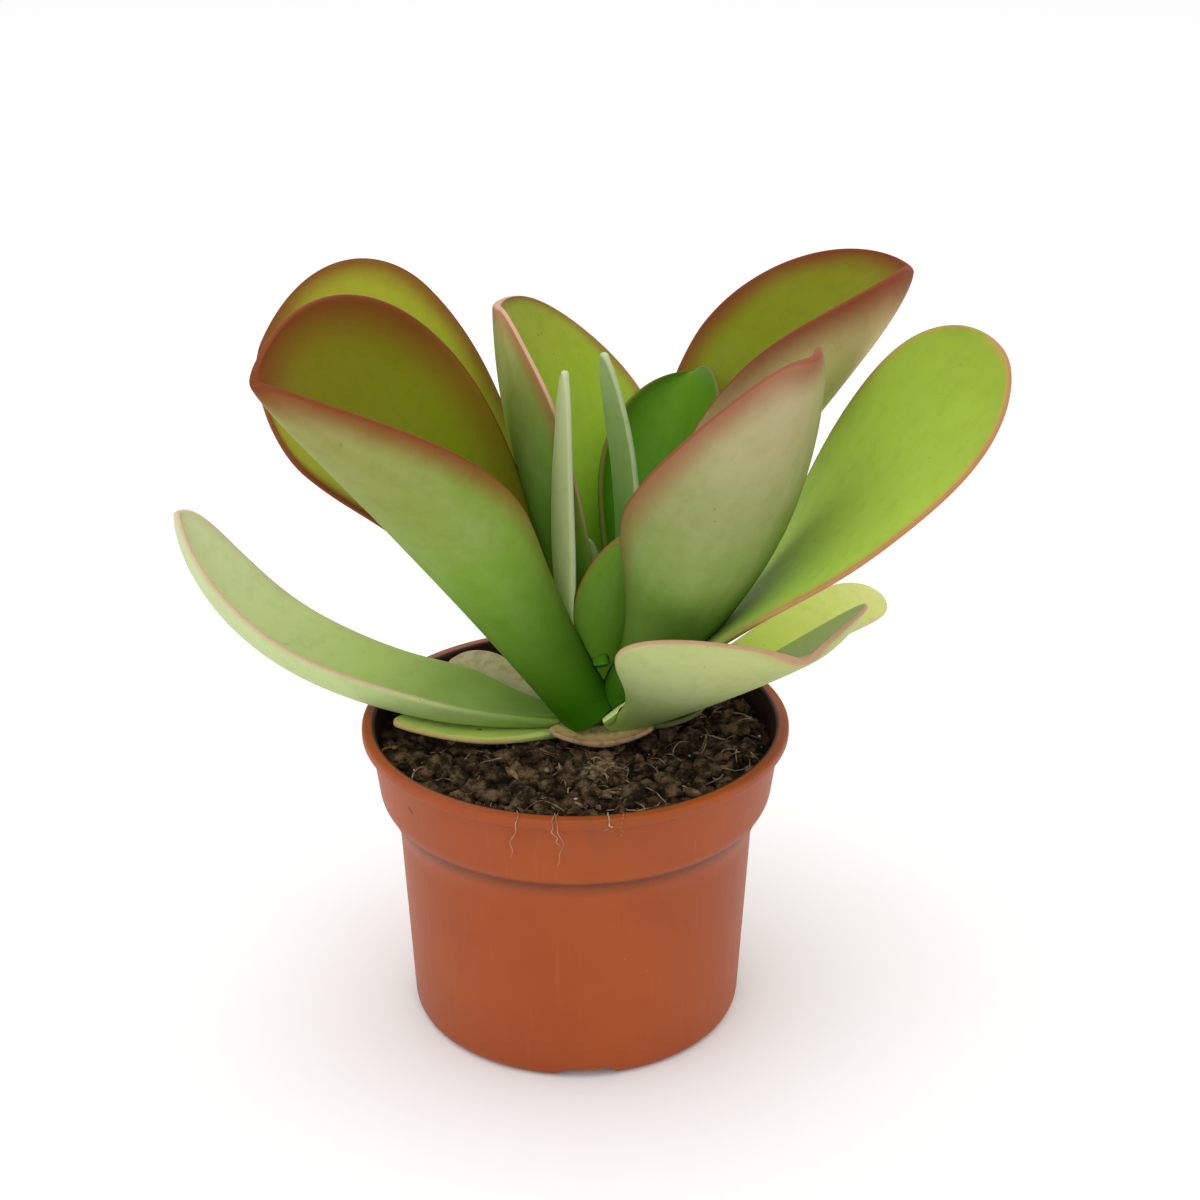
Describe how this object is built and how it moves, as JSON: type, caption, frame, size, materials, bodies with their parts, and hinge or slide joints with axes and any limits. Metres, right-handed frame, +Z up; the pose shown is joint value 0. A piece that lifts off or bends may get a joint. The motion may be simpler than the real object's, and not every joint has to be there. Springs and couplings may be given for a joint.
{
  "type": "potted plant",
  "caption": "Potted succulent: a rosette of broad, spoon-shaped leaves with red margins on a short stem, in soil, in a round tapered plastic pot.",
  "frame": {"origin": "centre of the pot's flat underside, on the pot's axis", "axes": "+Z up along the pot's axis; -Y towards the front that the picture shows; +X to that view's right"},
  "size_m": [0.2269, 0.1468, 0.2211],
  "materials": {
    "pot_plastic": "satin terracotta-coloured plastic",
    "soil_peat": "rough, dark and crumbly; stands in for peat",
    "leaf_green": "smooth, thick green blade; stands in for succulent leaf",
    "leaf_pale": "smooth blade with a pale waxy bloom; stands in for succulent leaf",
    "leaf_red": "smooth olive blade with red margins; stands in for succulent leaf",
    "leaf_dry": "dry, thin and wrinkled; stands in for a withered leaf"
  },
  "bodies": {
    "root": {"pot": "pot_plastic", "soil": "soil_peat", "stem": "leaf_green", "leaf_front_withered": "leaf_dry", "leaf_back_withered": "leaf_dry", "leaf_left_small": "leaf_green", "leaf_right_small": "leaf_green", "leaf_back_small": "leaf_green", "leaf_right_low": "leaf_green", "leaf_left_low": "leaf_green", "leaf_back_low": "leaf_green", "leaf_front_low": "leaf_pale", "leaf_right_broad": "leaf_green", "leaf_left_back": "leaf_red", "leaf_left_scoop": "leaf_red", "leaf_back_right": "leaf_red", "leaf_back_left": "leaf_green", "leaf_front_right": "leaf_pale", "leaf_back_inner": "leaf_green", "leaf_front_inner": "leaf_green", "leaf_centre_left": "leaf_pale", "leaf_centre_right": "leaf_pale", "leaf_bud": "leaf_pale"}
  },
  "joints": []
}
